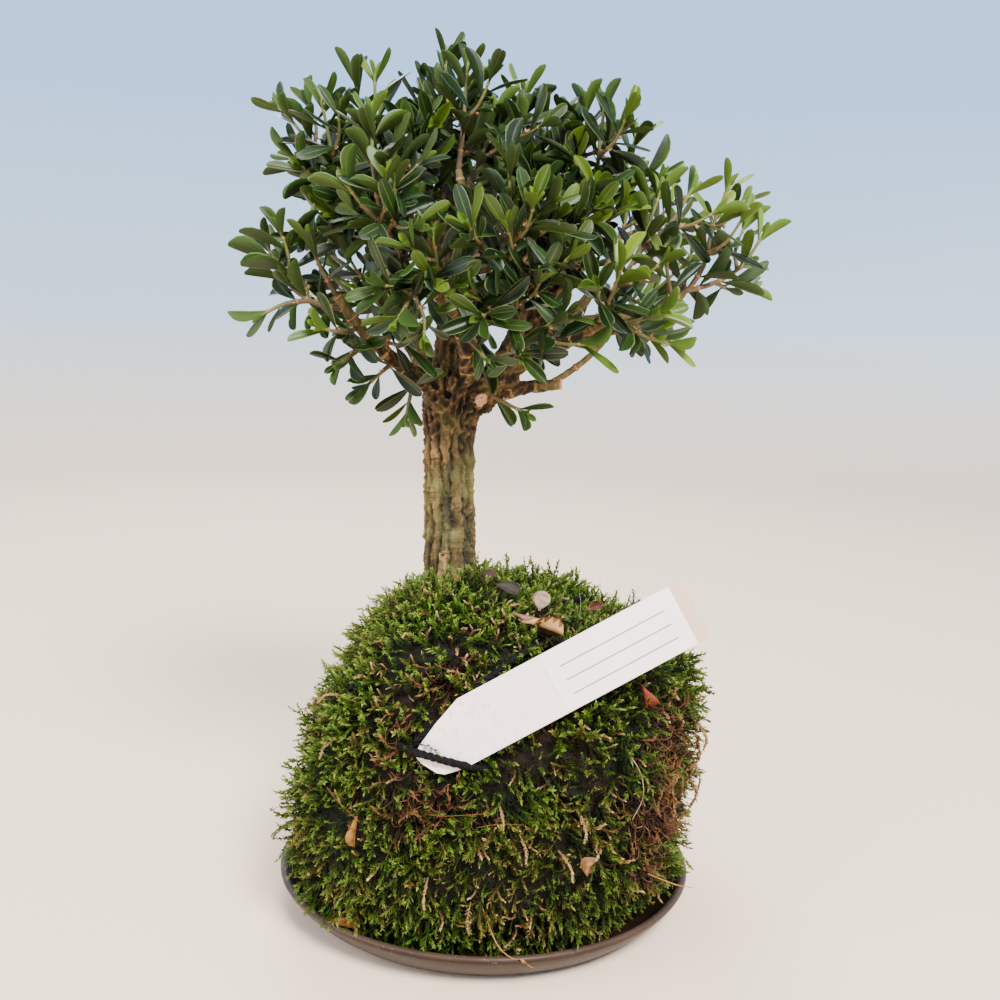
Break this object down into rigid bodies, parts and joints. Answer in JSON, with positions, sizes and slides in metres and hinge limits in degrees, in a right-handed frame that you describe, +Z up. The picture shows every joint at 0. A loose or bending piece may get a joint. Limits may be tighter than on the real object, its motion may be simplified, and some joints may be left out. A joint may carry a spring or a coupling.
{
  "type": "kokedama moss ball plant",
  "caption": "Small evergreen shrub with a bare trunk and fine oval leaves, growing from a cord-bound moss ball that stands in a round glazed saucer, with a stick label held under the cord.",
  "frame": {"origin": "middle of the saucer's flat base", "axes": "+Z up, -Y towards the front, where the label is, +X to the right seen from the front"},
  "size_m": [0.1628, 0.1361, 0.2749],
  "materials": {
    "glaze": "dark brown gloss glaze",
    "soil": "damp potting soil",
    "moss": "living moss, green with dry brown tips",
    "bark": "ridged corky bark",
    "leaf": "waxy evergreen leaves on green twigs",
    "cord": "twisted black cord",
    "label": "satin, slightly soiled",
    "sticker": "smooth coated paper, bare"
  },
  "bodies": {
    "root": {"saucer": "glaze", "soil_core": "soil", "moss_cover": "moss", "binding_cord": "cord", "plant_label": "label", "label_sticker": "sticker", "wood": "bark", "spray_left_low_1": "leaf", "spray_left_low_2": "leaf", "spray_left_low_3": "leaf", "spray_left_low_4": "leaf", "spray_left_low_5": "leaf", "spray_left_low_6": "leaf", "spray_left_low_7": "leaf", "spray_left_low_8": "leaf", "spray_front_left_1": "leaf", "spray_front_left_2": "leaf", "spray_front_left_3": "leaf", "spray_front_left_4": "leaf", "spray_centre_front_1": "leaf", "spray_centre_front_2": "leaf", "spray_centre_front_3": "leaf", "spray_centre_front_4": "leaf", "spray_right_up_1": "leaf", "spray_right_up_2": "leaf", "spray_right_up_3": "leaf", "spray_right_up_4": "leaf", "spray_right_up_5": "leaf", "spray_mid_up_1": "leaf", "spray_mid_up_2": "leaf", "spray_mid_up_3": "leaf", "spray_mid_up_4": "leaf", "spray_right_low_twig_1": "leaf", "spray_right_mid_1": "leaf", "spray_right_mid_2": "leaf", "spray_right_mid_3": "leaf", "spray_right_far_1": "leaf", "spray_right_far_2": "leaf", "spray_right_far_3": "leaf", "spray_right_far_4": "leaf", "spray_left_up_1": "leaf", "spray_left_up_2": "leaf", "spray_left_up_3": "leaf", "spray_left_up_4": "leaf", "spray_left_up_5": "leaf", "spray_top_left_1": "leaf", "spray_top_left_2": "leaf", "spray_top_left_3": "leaf", "spray_top_1": "leaf", "spray_top_2": "leaf", "spray_back_left_1": "leaf", "spray_back_left_2": "leaf", "spray_back_left_3": "leaf", "spray_back_mid_1": "leaf", "spray_back_mid_2": "leaf", "spray_back_mid_3": "leaf", "spray_back_right_1": "leaf", "spray_back_right_2": "leaf", "spray_back_right_3": "leaf"}
  },
  "joints": []
}
